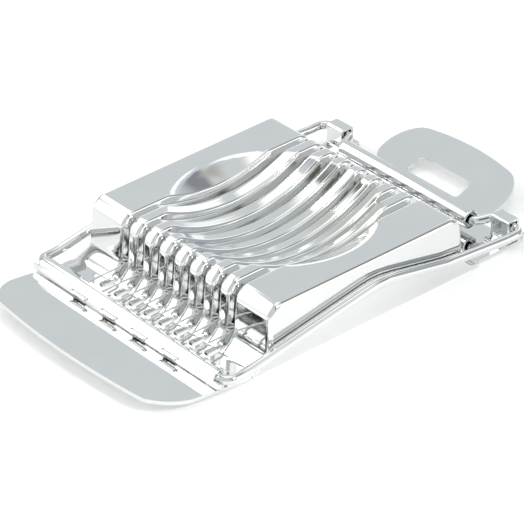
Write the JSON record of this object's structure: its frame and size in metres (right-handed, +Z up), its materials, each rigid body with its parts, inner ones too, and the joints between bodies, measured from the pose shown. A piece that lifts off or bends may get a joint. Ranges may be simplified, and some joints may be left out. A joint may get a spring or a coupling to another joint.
{
  "type": "egg slicer",
  "caption": "Egg slicer with a pressed steel base, slotted ribs over an egg cup, and a hinged rod frame that carries cutting wires down through the slots.",
  "frame": {"origin": "under the middle of the whole base, on the surface it stands on", "axes": "X is the width, left to right; Y runs from the front tab to the rear tab; Z is up"},
  "size_m": [0.073, 0.1326, 0.0164],
  "materials": {
    "polished_sheet": "mirror polished stainless sheet",
    "polished_rod": "polished stainless rod",
    "cutting_wire": "bright drawn stainless wire"
  },
  "bodies": {
    "base": {"base_plate": "polished_sheet", "hinge_clip_left": "polished_sheet", "hinge_clip_right": "polished_sheet"},
    "frame": {"frame_rod": "polished_rod", "wire_holder": "polished_sheet", "anchor_bar": "polished_rod", "wire_pair_1": "cutting_wire", "wire_pair_2": "cutting_wire", "wire_pair_3": "cutting_wire", "wire_pair_4": "cutting_wire"}
  },
  "joints": [
    {"name": "frame_hinge", "type": "hinge", "parent": "base", "child": "frame", "pos_m": [0, 0.0476, 0.0052], "axis": [-1, 0, 0], "range_deg": [0, 165]}
  ]
}
